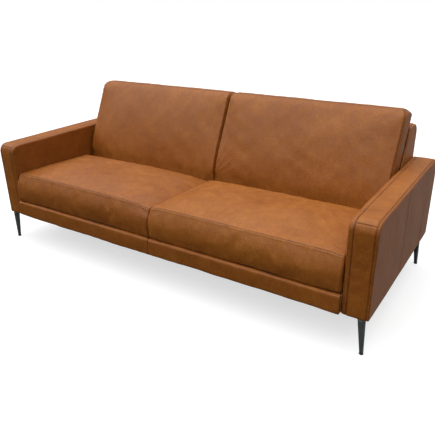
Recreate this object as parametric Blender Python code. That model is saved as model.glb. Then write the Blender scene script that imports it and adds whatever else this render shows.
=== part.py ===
"""A long low leather sofa: padded arms, a timber base and back frame, loose cushions and metal legs.

Metres, +Z up. The sofa faces -Y, and left and right are as seen from the front, so right is +X.
The origin is on the floor, under the middle of the whole sofa.
"""

import math

import bmesh
import bpy

# Whole sofa
WIDTH = 2.26
DEPTH = 1.02
BODY_BOTTOM = 0.170  # underside of the arms, at the top of the legs
GAP = 0.0003  # clearance between pieces that touch

# Arms
ARM_THICKNESS = 0.120
ARM_TOP = 0.600
ARM_CORNER = 0.045
ARM_FRONT = -DEPTH / 2 + 0.020
ARM_REAR = DEPTH / 2
ARM_PAD = 0.020  # padded band round the front, top and rear
ARM_SEAM_INNER = 0.024  # from the inner face to the band
ARM_SEAM_OUTER = 0.012  # from the outer face to the band
ARM_CROSS_SEAM = 45  # degrees round each corner, where the front and rear pads meet the top pad
ARM_CORNER_STEPS = 6  # facets of a round corner
ARM_INNER_EDGE = [(0, 0.008), (0.003, 0.003), (0.009, 0)]  # (x from the face, drawn in) of its rounded edge
ARM_OUTER_EDGE = [(0, 0.007), (0.002, 0.003), (0.006, 0)]
ARM_POST_DEPTH = 0.060
ARM_RAIL_HEIGHT = 0.050

# Base between the arms
BASE_BOTTOM = 0.178
RAIL_TOP = 0.262
RAIL = 0.030
SEAT_RAIL_REAR = 0.1247
DECK_BOTTOM = 0.2670
DECK_TOP = 0.2690
APRON_TOP = 0.2680
APRON_THICKNESS = 0.020
APRON_ROUND = 0.008
DUST_COVER = 0.0012
SPRING_WIRE = 0.004
SPRINGS_PER_SEAT = 6
SPRING_HALF_WAVES = 12
SPRING_SWING = 0.022
SPRING_END_GAP = 0.006  # from a spring's ends to the outer edges of the rails
TIE_WIRE = 0.0015
TIE_OVERHANG = 0.030  # of a tie wire past the outermost springs
TIE_PLACES = (1 / 3, 2 / 3)  # along the springs

# Back frame
LEAN = math.radians(25.5)  # of the back, from upright
FRAME_TOP = 0.775
FRAME_TOP_FRONT = 0.370  # y of the lining at the frame's top
FRAME_REAR = DEPTH / 2 - 0.002
FRAME_ROUND = 0.065
FRAME_HALF_WIDTH = 1.008
FRAME_SKIN = 0.014
FRAME_NOSE = 0.010  # radius of the front edge of the frame's top
SIDE_PANEL = 0.012
SIDE_PANEL_EDGE = 0.004
SIDE_PANEL_SETBACK = 0.001  # behind the band that it is joined to
REAR_SEAM_Z = 0.690
POST_WIDTH = 0.045
POST_TOP = 0.700
WEBBING = 0.003
STRAP = 0.050
STRAP_LOWEST = 0.320
STRAP_PITCH = 0.110
STRAP_ROWS = 4
STRAP_COLUMNS = 5  # on each side of the middle
STRAP_OVERHANG = 0.020  # of an upright strap past the outermost rows
STRAP_END_GAP = 0.002

# Cushions
COVER = 0.0025
COVER_EDGE = [(0, 0.010), (0.005, 0.003), (0.016, 0)]  # (x from the end, drawn in) of a cushion's round ends
ZIP_WIDTH = 0.012
ZIP_END_GAP = 0.060
SLOT_REACH = 0.003  # of the zip slot's cutter outside the cover, and half its reach inside
CUSHION_BOTTOM = 0.2705
CUSHION_ROUND = 0.016
MIDDLE_GAP = 0.0008  # from the sofa's middle to each cushion
SEAT_REAR = 0.0635
SEAT_REAR_TOP = 0.424
SEAT_FRONT_TOP = 0.440
SEAT_FRONT = -DEPTH / 2 + 0.006
SEAT_BULGE = -DEPTH / 2 + 0.004  # its furthest point forward, half way up
SEAT_BULGE_ROUND = 0.060
SEAT_FRONT_SEAM = -DEPTH / 2 + 0.032
SEAT_SEAM_ROUND = 0.018
SEAT_CROWN = ((-0.070, 0.447), (-0.280, 0.455))  # y and z of the top's highest stretch
SEAT_CROWN_ROUND = 0.400
SEAT_ARM_GAP = 0.0015
SEAT_ZIP_RISE = 0.030  # above the cushion's bottom
BACK_THICKNESS = 0.1376  # measured level
BACK_TOP = 0.875
BACK_TOP_FALL = 0.006  # towards the rear
BACK_REAR_ROUND = 0.045
BACK_FRONT_ROUND = 0.055
BACK_BEND_ROUND = 0.040
BACK_GAP = 0.001  # to the lining
BACK_HALF_WIDTH = 0.990
BACK_ZIP_SETBACK = 0.025

# Legs
LEG_TOP_RADIUS = 0.017
LEG_FOOT_RADIUS = 0.0085
LEG_TOP_X = 1.098
LEG_FOOT_X = 1.112
LEG_Y = {"front": -0.475, "rear": 0.450}
PLATE = 0.0034
PLATE_DEPTH = 0.090
PLATE_GAPS = (0.002, 0.001)  # to the arm's inner and outer covers
STUD_RADIUS = 0.005
SCREW_HOLE_RADIUS = 0.0025
SCREW_SETBACK = 0.015  # of the inner screws from the arm's inner cover
GLIDE_HEIGHT = 0.006
GLIDE_RADIUS = 0.0095

ARM_INNER_X = WIDTH / 2 - ARM_THICKNESS
BAND_INNER_X = ARM_INNER_X + ARM_SEAM_INNER
BAND_OUTER_X = WIDTH / 2 - ARM_SEAM_OUTER
SIDES = (("left", -1), ("right", 1))


def clear_scene():
    """Removes every object of the open scene."""
    for obj in list(bpy.data.objects):
        bpy.data.objects.remove(obj)


def material(name, colour, roughness, metallic=0.0):
    """A plain Principled material."""
    made = bpy.data.materials.new(name)
    made.use_nodes = True
    shader = made.node_tree.nodes["Principled BSDF"]
    shader.inputs["Base Color"].default_value = (*colour, 1.0)
    shader.inputs["Roughness"].default_value = roughness
    shader.inputs["Metallic"].default_value = metallic
    return made


def solid(name, rings, finish):
    """A closed body through a list of rings of points, with a flat cap on the first and the last ring."""
    shape = bmesh.new()
    loops = [[shape.verts.new(point) for point in ring] for ring in rings]
    count = len(loops[0])
    for low, high in zip(loops, loops[1:]):
        for i in range(count):
            j = (i + 1) % count
            shape.faces.new((low[i], low[j], high[j], high[i]))
    shape.faces.new(loops[0])
    shape.faces.new(loops[-1])
    bmesh.ops.recalc_face_normals(shape, faces=shape.faces)
    mesh = bpy.data.meshes.new(name)
    shape.to_mesh(mesh)
    shape.free()
    obj = bpy.data.objects.new(name, mesh)
    bpy.context.scene.collection.objects.link(obj)
    if finish:
        mesh.materials.append(finish)
    else:
        obj.hide_render = True
        obj.display_type = "WIRE"
    return obj


def along_x(name, sections, finish):
    """A body whose outlines in y and z stand at places along x, given as (x, outline)."""
    return solid(name, [[(x, y, z) for y, z in outline] for x, outline in sections], finish)


def slab(name, outline, x0, x1, finish):
    """One outline in y and z, carried from x0 to x1."""
    return along_x(name, [(x0, outline), (x1, outline)], finish)


def box(name, low, high, finish):
    """A rectangular piece between two corners."""
    (x0, y0, z0), (x1, y1, z1) = low, high
    return slab(name, [(y0, z0), (y1, z0), (y1, z1), (y0, z1)], x0, x1, finish)


def rounded(corners, steps=4):
    """An outline from (y, z, radius) corners, with each round corner as an arc."""
    outline = []
    for i, (y, z, radius) in enumerate(corners):
        if radius == 0:
            outline.append((y, z))
            continue
        before, after = corners[i - 1], corners[(i + 1) % len(corners)]
        into = math.atan2(z - before[1], y - before[0])
        out = math.atan2(after[1] - z, after[0] - y)
        turn = (out - into + math.pi) % (2 * math.pi) - math.pi
        reach = radius * math.tan(abs(turn) / 2)
        side = math.copysign(1, turn)
        start_y, start_z = y - reach * math.cos(into), z - reach * math.sin(into)
        centre_y = start_y - side * radius * math.sin(into)
        centre_z = start_z + side * radius * math.cos(into)
        for step in range(steps + 1):
            angle = into - side * math.pi / 2 + turn * step / steps
            outline.append((centre_y + radius * math.cos(angle), centre_z + radius * math.sin(angle)))
    return outline


def inset(outline, distance):
    """An anticlockwise outline moved inwards by a distance."""
    moved = []
    for i, (y, z) in enumerate(outline):
        before, after = outline[i - 1], outline[(i + 1) % len(outline)]
        into = math.atan2(z - before[1], y - before[0])
        out = math.atan2(after[1] - z, after[0] - y)
        turn = (out - into + math.pi) % (2 * math.pi) - math.pi
        reach = distance / math.cos(turn / 2)
        normal = into + turn / 2 + math.pi / 2
        moved.append((y + reach * math.cos(normal), z + reach * math.sin(normal)))
    return moved


def boolean(obj, other, operation):
    """Cuts another object from this one, or joins it to this one."""
    other.hide_render = True
    other.display_type = "WIRE"
    step = obj.modifiers.new(other.name, "BOOLEAN")
    step.object = other
    step.operation = operation


def lining_y(z):
    """y of the front of the back lining at a height."""
    return FRAME_TOP_FRONT + (z - FRAME_TOP) * math.tan(LEAN)


def arm_outline(edge):
    """The arm's outline from the side, with its front, top and rear drawn in by a distance."""
    return rounded(
        [
            (ARM_FRONT + edge, BODY_BOTTOM, 0),
            (ARM_REAR - edge, BODY_BOTTOM, 0),
            (ARM_REAR - edge, ARM_TOP - edge, ARM_CORNER - edge),
            (ARM_FRONT + edge, ARM_TOP - edge, ARM_CORNER - edge),
        ],
        steps=ARM_CORNER_STEPS,
    )


def arm_strip(arcs, foot):
    """The outline of a padded strip that follows the arm's corners.
    Each arc is (y of the corner's centre, first angle, last angle).
    A foot is (y, direction inwards, z)."""
    sides = []
    for radius, depth in ((ARM_CORNER, 0), (ARM_CORNER - ARM_PAD, ARM_PAD)):
        line = []
        if foot:
            y, inwards, low = foot
            line.append((y + inwards * depth, low))
        for centre, first, last in arcs:
            for step in range(ARM_CORNER_STEPS + 1):
                angle = math.radians(first + (last - first) * step / ARM_CORNER_STEPS)
                y = centre + radius * math.cos(angle)
                line.append((y, ARM_TOP - ARM_CORNER + radius * math.sin(angle)))
        sides.append(line)
    outer, inner = sides
    return outer + inner[::-1]


def make_arm(side, sign, leather, timber):
    """One arm: two side covers, three padded strips between them, and a timber frame and rail inside."""
    x0, x1 = sign * (BAND_INNER_X + GAP), sign * (BAND_OUTER_X - GAP)
    inner, outer = ARM_INNER_EDGE + [(ARM_SEAM_INNER, 0)], ARM_OUTER_EDGE + [(ARM_SEAM_OUTER, 0)]
    along_x(
        f"arm_inner_cover_{side}",
        [(sign * (ARM_INNER_X + x), arm_outline(edge)) for x, edge in inner],
        leather,
    )
    along_x(
        f"arm_outer_cover_{side}",
        [(sign * (WIDTH / 2 - x), arm_outline(edge)) for x, edge in outer],
        leather,
    )
    low = BODY_BOTTOM + PLATE + 2 * GAP
    front_centre, rear_centre = ARM_FRONT + ARM_CORNER, ARM_REAR - ARM_CORNER
    half_gap = math.degrees(GAP / ARM_CORNER)
    seam, edge = ARM_CROSS_SEAM + half_gap, ARM_CROSS_SEAM - half_gap
    front_pad = arm_strip([(front_centre, 180, 180 - edge)], (ARM_FRONT, 1, low))
    rear_pad = arm_strip([(rear_centre, 0, edge)], (ARM_REAR, -1, low))
    top_pad = arm_strip([(front_centre, 180 - seam, 90), (rear_centre, 90, seam)], None)
    slab(f"arm_front_pad_{side}", front_pad, x0, x1, leather)
    slab(f"arm_rear_pad_{side}", rear_pad, x0, x1, leather)
    slab(f"arm_top_pad_{side}", top_pad, x0, x1, leather)

    front, rear = ARM_FRONT + ARM_PAD + GAP, ARM_REAR - ARM_PAD - GAP
    rail_low, rail_high = ARM_TOP - ARM_PAD - ARM_RAIL_HEIGHT, ARM_TOP - ARM_PAD - GAP
    post_top, shelf = rail_low - GAP, low + ARM_RAIL_HEIGHT
    timber_frame = [
        (front, low),
        (rear, low),
        (rear, post_top),
        (rear - ARM_POST_DEPTH, post_top),
        (rear - ARM_POST_DEPTH, shelf),
        (front + ARM_POST_DEPTH, shelf),
        (front + ARM_POST_DEPTH, post_top),
        (front, post_top),
    ]
    slab(f"arm_frame_{side}", timber_frame, x0, x1, timber)
    round_end = ARM_CORNER - ARM_PAD
    rail = rounded(
        [
            (front, rail_low, 0),
            (rear, rail_low, 0),
            (rear, rail_high, round_end),
            (front, rail_high, round_end),
        ]
    )
    slab(f"arm_top_rail_{side}", rail, x0, x1, timber)


def ring(x, y, z, radius, count=20):
    """A level circle of points."""
    turns = [2 * math.pi * i / count for i in range(count)]
    return [(x + radius * math.cos(a), y + radius * math.sin(a), z) for a in turns]


def make_leg(end, side, sign, steel, nylon):
    """One tapered leg that leans outwards, the plate its stud screws into, and the glide under it."""
    place = f"{end}_{side}"
    top_x, foot_x, y = sign * LEG_TOP_X, sign * LEG_FOOT_X, LEG_Y[end]
    leg_top = BODY_BOTTOM - GAP
    leg = solid(
        f"leg_{place}",
        [
            ring(foot_x, y, GLIDE_HEIGHT + GAP, LEG_FOOT_RADIUS),
            ring(top_x, y, leg_top, LEG_TOP_RADIUS),
            ring(top_x, y, leg_top, STUD_RADIUS),
            ring(top_x, y, BODY_BOTTOM + PLATE, STUD_RADIUS),
        ],
        steel,
    )
    leg.data.shade_smooth()
    leg.data.set_sharp_from_angle(angle=math.radians(40))
    inwards = -1 if end == "rear" else 1
    plate_y = sorted((y - inwards * LEG_FOOT_RADIUS, y + inwards * (PLATE_DEPTH - LEG_FOOT_RADIUS)))
    plate_x = sorted((sign * (BAND_INNER_X + PLATE_GAPS[0]), sign * (BAND_OUTER_X - PLATE_GAPS[1])))
    plate = box(
        f"leg_plate_{place}",
        (plate_x[0], plate_y[0], BODY_BOTTOM),
        (plate_x[1], plate_y[1], BODY_BOTTOM + PLATE),
        steel,
    )
    far_y = y + inwards * (PLATE_DEPTH - 3 * LEG_FOOT_RADIUS)
    near_x = sign * (BAND_INNER_X + SCREW_SETBACK)
    holes = [
        (top_x, y, STUD_RADIUS + GAP),
        (top_x, far_y, SCREW_HOLE_RADIUS),
        (near_x, far_y, SCREW_HOLE_RADIUS),
        (near_x, y, SCREW_HOLE_RADIUS),
    ]
    for number, (x, hole_y, radius) in enumerate(holes):
        low, high = BODY_BOTTOM - PLATE, BODY_BOTTOM + 2 * PLATE
        count = 20 if number == 0 else 8
        cutter = solid(
            f"hole_{place}_{number}",
            [ring(x, hole_y, low, radius, count), ring(x, hole_y, high, radius, count)],
            None,
        )
        boolean(plate, cutter, "DIFFERENCE")
    solid(
        f"glide_{place}",
        [
            ring(foot_x, y, 0, LEG_FOOT_RADIUS),
            ring(foot_x, y, GLIDE_HEIGHT / 4, GLIDE_RADIUS),
            ring(foot_x, y, GLIDE_HEIGHT, GLIDE_RADIUS),
        ],
        nylon,
    )


def spring_wire(x, y0, y1):
    """The outline in x and y of one zigzag spring wire, from front to rear."""
    step = (y1 - y0) / SPRING_HALF_WAVES
    places = [(x, y0)]
    for i in range(SPRING_HALF_WAVES):
        swing = SPRING_SWING * (1 if i % 2 else -1)
        places.append((x + swing, y0 + (i + 0.25) * step))
        places.append((x + swing, y0 + (i + 0.75) * step))
    places.append((x, y1))
    left, right = [], []
    for i, (px, py) in enumerate(places):
        before, after = places[max(i - 1, 0)], places[min(i + 1, len(places) - 1)]
        into = math.atan2(py - before[1], px - before[0]) if i else math.pi / 2
        out = math.atan2(after[1] - py, after[0] - px) if i < len(places) - 1 else math.pi / 2
        reach = SPRING_WIRE / 2 / math.cos((out - into) / 2)
        normal = (into + out) / 2 + math.pi / 2
        left.append((px + reach * math.cos(normal), py + reach * math.sin(normal)))
        right.append((px - reach * math.cos(normal), py - reach * math.sin(normal)))
    return left + right[::-1]


def make_springs(side, sign, steel):
    """The zigzag springs under one seat, tied across by two wires into one mat."""
    y0, y1 = ARM_FRONT + SPRING_END_GAP, SEAT_RAIL_REAR - SPRING_END_GAP
    low = RAIL_TOP + GAP
    pitch = (ARM_INNER_X - RAIL) / SPRINGS_PER_SEAT
    wires = None
    for number in range(SPRINGS_PER_SEAT):
        outline = spring_wire(sign * (0.5 + number) * pitch, y0, y1)
        levels = [[(x, y, z) for x, y in outline] for z in (low, low + SPRING_WIRE)]
        name = f"seat_springs_{side}" if number == 0 else f"wire_{side}_{number}"
        wire = solid(name, levels, steel)
        wires = wires or wire
        if wire is not wires:
            wire.hide_render = True
            wire.display_type = "WIRE"
    middle = low + SPRING_WIRE / 2
    first, last = sign * 0.5 * pitch, sign * (SPRINGS_PER_SEAT - 0.5) * pitch
    x0, x1 = sorted((first - sign * TIE_OVERHANG, last + sign * TIE_OVERHANG))
    for row, share in enumerate(TIE_PLACES):
        y = y0 + (y1 - y0) * share
        tie = box(
            f"tie_{side}_{row}",
            (x0, y - TIE_WIRE, middle - TIE_WIRE / 2),
            (x1, y + TIE_WIRE, middle + TIE_WIRE / 2),
            None,
        )
        boolean(wires, tie, "UNION")
    for number in range(1, SPRINGS_PER_SEAT):
        boolean(wires, bpy.data.objects[f"wire_{side}_{number}"], "UNION")


def make_base(leather, timber, steel, cloth):
    """The timber seat frame between the arms, its springs, deck and dust cover, and the padded aprons."""
    half = ARM_INNER_X - GAP
    front = ARM_FRONT
    rear = SEAT_RAIL_REAR
    box("base_front_rail", (-half, front, BASE_BOTTOM), (half, front + RAIL, RAIL_TOP), timber)
    box("base_rear_rail", (-half, rear - RAIL, BASE_BOTTOM), (half, rear, RAIL_TOP), timber)
    low, high = front + RAIL + GAP, rear - RAIL - GAP
    box("base_centre_rail", (-RAIL / 2, low, BASE_BOTTOM), (RAIL / 2, high, RAIL_TOP), timber)
    for side, sign in SIDES:
        x0, x1 = sorted((sign * (half - RAIL), sign * half))
        box(f"base_side_rail_{side}", (x0, low, BASE_BOTTOM), (x1, high, RAIL_TOP), timber)
        make_springs(side, sign, steel)
        apron = rounded(
            [
                (front - APRON_THICKNESS, BASE_BOTTOM, APRON_ROUND),
                (front - GAP, BASE_BOTTOM, 0),
                (front - GAP, APRON_TOP, 0),
                (front - APRON_THICKNESS, APRON_TOP, APRON_ROUND),
            ]
        )
        slab(f"apron_{side}", apron, sign * GAP, sign * half, leather)
    box("seat_deck", (-half, front, DECK_BOTTOM), (half, rear, DECK_TOP), cloth)
    box(
        "dust_cover",
        (-half, front, BASE_BOTTOM - GAP - DUST_COVER),
        (half, FRAME_REAR - FRAME_SKIN, BASE_BOTTOM - GAP),
        cloth,
    )


def make_back(leather, lining, timber, webbing):
    """The timber back frame with its webbing, its front lining and its leather outside."""
    skin_rear = FRAME_REAR - FRAME_SKIN
    inner_half = FRAME_HALF_WIDTH - SIDE_PANEL - GAP

    def post_y(z):
        return lining_y(z) + FRAME_SKIN + WEBBING + 2 * GAP

    foot_front = SEAT_RAIL_REAR + 2 * GAP
    notch = skin_rear - RAIL
    post = [
        (foot_front, BASE_BOTTOM),
        (notch - GAP, BASE_BOTTOM),
        (notch - GAP, RAIL_TOP + GAP),
        (skin_rear - GAP, RAIL_TOP + GAP),
        (skin_rear - GAP, POST_TOP),
        (post_y(POST_TOP), POST_TOP),
        (post_y(RAIL_TOP), RAIL_TOP),
        (foot_front, RAIL_TOP),
    ]
    edge = inner_half - POST_WIDTH
    for name, x0 in (("left", -inner_half), ("centre", -POST_WIDTH / 2), ("right", edge)):
        slab(f"back_post_{name}", post, x0, x0 + POST_WIDTH, timber)
    low, high = (-inner_half, notch, BASE_BOTTOM), (inner_half, skin_rear - GAP, RAIL_TOP)
    box("back_lower_rail", low, high, timber)
    skin_top = FRAME_TOP - FRAME_SKIN
    rail_low, rail_high = POST_TOP + GAP, skin_top - GAP
    rail = rounded(
        [
            (post_y(rail_low), rail_low, 0),
            (skin_rear - GAP, rail_low, 0),
            (skin_rear - GAP, rail_high, FRAME_ROUND - FRAME_SKIN),
            (post_y(rail_high), rail_high, 0),
        ],
        steps=6,
    )
    slab("back_top_rail", rail, -inner_half, inner_half, timber)

    low, high = DECK_TOP + 2 * GAP, skin_top - GAP
    front = [(lining_y(low), low), (lining_y(low) + FRAME_SKIN, low)]
    front += [(lining_y(high) + FRAME_SKIN, high), (lining_y(high), high)]
    slab("back_lining", front, -inner_half, inner_half, lining)
    make_webbing(inner_half, webbing)

    rear = [(skin_rear, BASE_BOTTOM), (FRAME_REAR, BASE_BOTTOM)]
    rear += [(FRAME_REAR, REAR_SEAM_Z - GAP), (skin_rear, REAR_SEAM_Z - GAP)]
    slab("back_rear_cover", rear, -inner_half, inner_half, leather)
    band = rounded(
        [
            (lining_y(skin_top), skin_top, 0),
            (skin_rear, skin_top, FRAME_ROUND - FRAME_SKIN),
            (skin_rear, REAR_SEAM_Z, 0),
            (FRAME_REAR, REAR_SEAM_Z, 0),
            (FRAME_REAR, FRAME_TOP, FRAME_ROUND),
            (lining_y(FRAME_TOP), FRAME_TOP, FRAME_NOSE),
        ],
        steps=6,
    )
    overlap = FRAME_HALF_WIDTH - SIDE_PANEL / 2
    cover = slab("back_top_cover", band, -overlap, overlap, leather)
    panel = rounded(
        [
            (foot_front, BASE_BOTTOM, 0),
            (FRAME_REAR, BASE_BOTTOM, 0),
            (FRAME_REAR, FRAME_TOP, FRAME_ROUND),
            (lining_y(FRAME_TOP), FRAME_TOP, FRAME_NOSE),
            (lining_y(RAIL_TOP), RAIL_TOP, 0),
            (foot_front, RAIL_TOP, 0),
        ],
        steps=6,
    )
    panel = inset(panel, SIDE_PANEL_SETBACK)
    ends = [(SIDE_PANEL, 0), (SIDE_PANEL_EDGE, 0), (0, SIDE_PANEL_EDGE)]
    for side, sign in SIDES:
        sections = [(sign * (FRAME_HALF_WIDTH - x), inset(panel, draw)) for x, draw in ends]
        boolean(cover, along_x(f"side_panel_{side}", sections, None), "UNION")


def make_webbing(inner_half, webbing):
    """Elastic straps across the back frame, woven into one net behind the lining."""
    def strap(z0, z1, thinner):
        start = FRAME_SKIN + GAP + thinner
        end = FRAME_SKIN + GAP + WEBBING - thinner
        outline = [(lining_y(z0) + start, z0), (lining_y(z0) + end, z0)]
        return outline + [(lining_y(z1) + end, z1), (lining_y(z1) + start, z1)]

    rows = [STRAP_LOWEST + STRAP_PITCH * row for row in range(STRAP_ROWS)]
    reach = inner_half - STRAP_END_GAP
    net = slab("back_webbing", strap(rows[0], rows[0] + STRAP, 0), -reach, reach, webbing)
    low, high = rows[0] - STRAP_OVERHANG, rows[-1] + STRAP + STRAP_OVERHANG
    pitch = (inner_half - 2 * POST_WIDTH) / STRAP_COLUMNS
    for side, sign in SIDES:
        for number in range(STRAP_COLUMNS):
            x = sign * (POST_WIDTH + (number + 0.5) * pitch)
            outline = strap(low, high, WEBBING / 5)
            column = slab(f"strap_{side}_{number}", outline, x - STRAP / 2, x + STRAP / 2, None)
            boolean(net, column, "UNION")
    for number, z in enumerate(rows[1:]):
        row = slab(f"strap_row_{number}", strap(z, z + STRAP, 0), -reach, reach, None)
        boolean(net, row, "UNION")


def seat_outline():
    """A seat cushion from the side: a bulging front, a crowned top and an upright rear."""
    return rounded(
        [
            (SEAT_FRONT, CUSHION_BOTTOM, CUSHION_ROUND),
            (SEAT_REAR, CUSHION_BOTTOM, CUSHION_ROUND),
            (SEAT_REAR, SEAT_REAR_TOP, CUSHION_ROUND),
            (*SEAT_CROWN[0], SEAT_CROWN_ROUND),
            (*SEAT_CROWN[1], SEAT_CROWN_ROUND),
            (SEAT_FRONT_SEAM, SEAT_FRONT_TOP, SEAT_SEAM_ROUND),
            (SEAT_BULGE, (CUSHION_BOTTOM + SEAT_FRONT_TOP) / 2, SEAT_BULGE_ROUND),
        ],
        steps=3,
    )


def back_front_y(z):
    """y of the front of a back cushion at a height."""
    return lining_y(z) - BACK_THICKNESS


def back_outline():
    """A back cushion from the side: it leans on the lining and stands on the deck behind the seat."""
    rear_top = BACK_TOP - BACK_TOP_FALL
    return rounded(
        [
            (back_front_y(SEAT_REAR_TOP), CUSHION_BOTTOM, CUSHION_ROUND),
            (lining_y(CUSHION_BOTTOM) - BACK_GAP, CUSHION_BOTTOM, CUSHION_ROUND),
            (lining_y(rear_top) - BACK_GAP, rear_top, BACK_REAR_ROUND),
            (back_front_y(BACK_TOP), BACK_TOP, BACK_FRONT_ROUND),
            (back_front_y(SEAT_REAR_TOP), SEAT_REAR_TOP, BACK_BEND_ROUND),
        ],
        steps=4,
    )


def make_cushion(name, outline, x0, x1, zip_corner, upright, finishes):
    """A cushion: a hollow cover with a slot for its zip, a foam core inside, and the zip.
    The zip's corner is the (y, z) where its slot starts, and an upright slot is in the cushion's rear."""
    leather, foam, zip_cloth = finishes
    sign = math.copysign(1, x1)

    def sections(thickness):
        shape = inset(outline, thickness)
        near = [(x0 + sign * (thickness + x), inset(shape, draw)) for x, draw in COVER_EDGE]
        far = [(x1 - sign * (thickness + x), inset(shape, draw)) for x, draw in reversed(COVER_EDGE)]
        return near + far

    cover = along_x(f"{name}_cover", sections(0), leather)
    boolean(cover, along_x(f"{name}_hollow", sections(COVER), None), "DIFFERENCE")
    along_x(f"{name}_core", sections(COVER + GAP), foam)
    y, z = zip_corner
    a, b = sorted((x0 + sign * ZIP_END_GAP, x1 - sign * ZIP_END_GAP))
    if upright:
        slot = (a, y - 2 * SLOT_REACH, z), (b, y + SLOT_REACH, z + ZIP_WIDTH)
        tape = (a + GAP, y - COVER + GAP, z + GAP), (b - GAP, y, z + ZIP_WIDTH - GAP)
    else:
        slot = (a, y, z - SLOT_REACH), (b, y + ZIP_WIDTH, z + 2 * SLOT_REACH)
        tape = (a + GAP, y + GAP, z), (b - GAP, y + ZIP_WIDTH - GAP, z + COVER - GAP)
    boolean(cover, box(f"{name}_slot", *slot, None), "DIFFERENCE")
    box(f"{name}_zip", *tape, zip_cloth)


def make_cushions(finishes):
    """The two seat cushions and the two back cushions."""
    seat_zip = (SEAT_REAR, CUSHION_BOTTOM + SEAT_ZIP_RISE)
    back_zip = (back_front_y(SEAT_REAR_TOP) + BACK_ZIP_SETBACK, CUSHION_BOTTOM)
    seat_end = ARM_INNER_X - SEAT_ARM_GAP
    for side, sign in SIDES:
        near = sign * MIDDLE_GAP
        make_cushion(f"seat_cushion_{side}", seat_outline(), near, sign * seat_end, seat_zip, True, finishes)
        make_cushion(
            f"back_cushion_{side}", back_outline(), near, sign * BACK_HALF_WIDTH, back_zip, False, finishes
        )


def main():
    clear_scene()
    leather = material("leather", (0.36, 0.145, 0.055), 0.45)
    timber = material("timber", (0.62, 0.46, 0.28), 0.7)
    steel = material("leg_steel", (0.09, 0.095, 0.105), 0.45, 0.8)
    spring_steel = material("spring_steel", (0.45, 0.45, 0.46), 0.35, 1.0)
    cloth = material("lining_cloth", (0.045, 0.04, 0.038), 0.9)
    webbing = material("webbing", (0.12, 0.11, 0.10), 0.85)
    foam = material("foam", (0.80, 0.76, 0.60), 0.95)
    nylon = material("nylon", (0.03, 0.03, 0.032), 0.5)
    zip_cloth = material("zip_cloth", (0.10, 0.05, 0.025), 0.7)

    for side, sign in SIDES:
        make_arm(side, sign, leather, timber)
        for end in LEG_Y:
            make_leg(end, side, sign, steel, nylon)
    make_base(leather, timber, spring_steel, cloth)
    make_back(leather, cloth, timber, webbing)
    make_cushions((leather, foam, zip_cloth))


main()
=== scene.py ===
"""The looks of a long, low leather sofa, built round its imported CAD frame.

Metres, +Z up. The sofa faces -Y, and +X is its right side as seen from the front.
The shapes of the right half are made first, and mirrored with other wrinkles for the left half.
"""

import math

import bmesh
import bpy
import numpy as np
from mathutils import Matrix, Vector


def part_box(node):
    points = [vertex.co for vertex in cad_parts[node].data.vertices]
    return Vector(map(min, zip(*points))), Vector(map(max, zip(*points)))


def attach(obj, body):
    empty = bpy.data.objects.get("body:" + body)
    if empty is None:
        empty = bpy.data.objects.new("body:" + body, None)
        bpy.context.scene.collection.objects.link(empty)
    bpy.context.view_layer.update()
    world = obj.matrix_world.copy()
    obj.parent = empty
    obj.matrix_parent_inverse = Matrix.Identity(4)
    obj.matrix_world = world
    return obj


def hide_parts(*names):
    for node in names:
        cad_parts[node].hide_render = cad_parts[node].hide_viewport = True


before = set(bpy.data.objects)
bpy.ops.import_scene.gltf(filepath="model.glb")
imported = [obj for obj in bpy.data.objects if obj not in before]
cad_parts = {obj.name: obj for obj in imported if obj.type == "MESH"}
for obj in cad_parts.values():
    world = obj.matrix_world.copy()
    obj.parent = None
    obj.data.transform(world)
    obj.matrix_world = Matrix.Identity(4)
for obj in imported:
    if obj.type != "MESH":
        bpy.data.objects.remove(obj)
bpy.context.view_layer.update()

SIDES = (("left", -1), ("right", 1))
GAP = 0.0003  # between pieces that touch

# Camera, at the photograph's viewing angle
CAMERA_PLACE = (1.566, -2.248, 1.391)
CAMERA_YAW = math.radians(33.296)
CAMERA_PITCH = math.radians(23.577)
CAMERA_ROLL = -0.0157
CAMERA_LENS = 42.22
CAMERA_SENSOR = 36.0

# Light
KEY_DIRECTION = (0.26, 0.22, -1.0)
KEY_STRENGTH = 3.7
KEY_SIZE = math.radians(105)
SKY_STRENGTHS = (0.02, 0.30)  # low down and overhead
FILL_STRENGTH = 0.45  # from behind on the right, low down
FLOOR_REACH = 60.0

# Seams
SEAM_DEPTH = 0.0020
FINE_SEAM_DEPTH = 0.0010  # of the arms and the frame
SEAM_WIDTH = 0.0016
SEAM_PUFF = 0.0009  # how far leather stands up beside a seam
STITCH_PITCH = 0.0075
STITCH_LENGTH = 0.0052
STITCH_RADIUS = 0.00055
STITCH_ROW = 0.0032  # from a seam to the stitches beside it

# Arms
ARM_CORNER = 0.045
ARM_FOOT_ROUND = 0.011
ARM_INNER_ROUND = 0.0095
ARM_OUTER_ROUND = 0.0065
ARM_PAD = 0.0195
BAND_CROWN = 0.0018  # of the strips between an arm's sides
SIDE_PUFF = 0.0022  # of an arm's sides
ARM_CROSS_SEAM = math.radians(45)  # round each corner, to where the front and rear pads meet the top pad
OUTER_SEAMS_Y = (-0.040, 0.335)

# Back frame
FRAME_CORNER = 0.065
FRAME_NOSE = 0.012
END_PANEL = 0.0125  # thickness of the panels at its ends

# Zips
TOOTH_PITCH = 0.0024
TOOTH = (0.0013, 0.0036, 0.0009)  # length, width and height
SLIDER = (0.009, 0.0052, 0.0012)
PULLER = (0.015, 0.0040, 0.0007)

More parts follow.
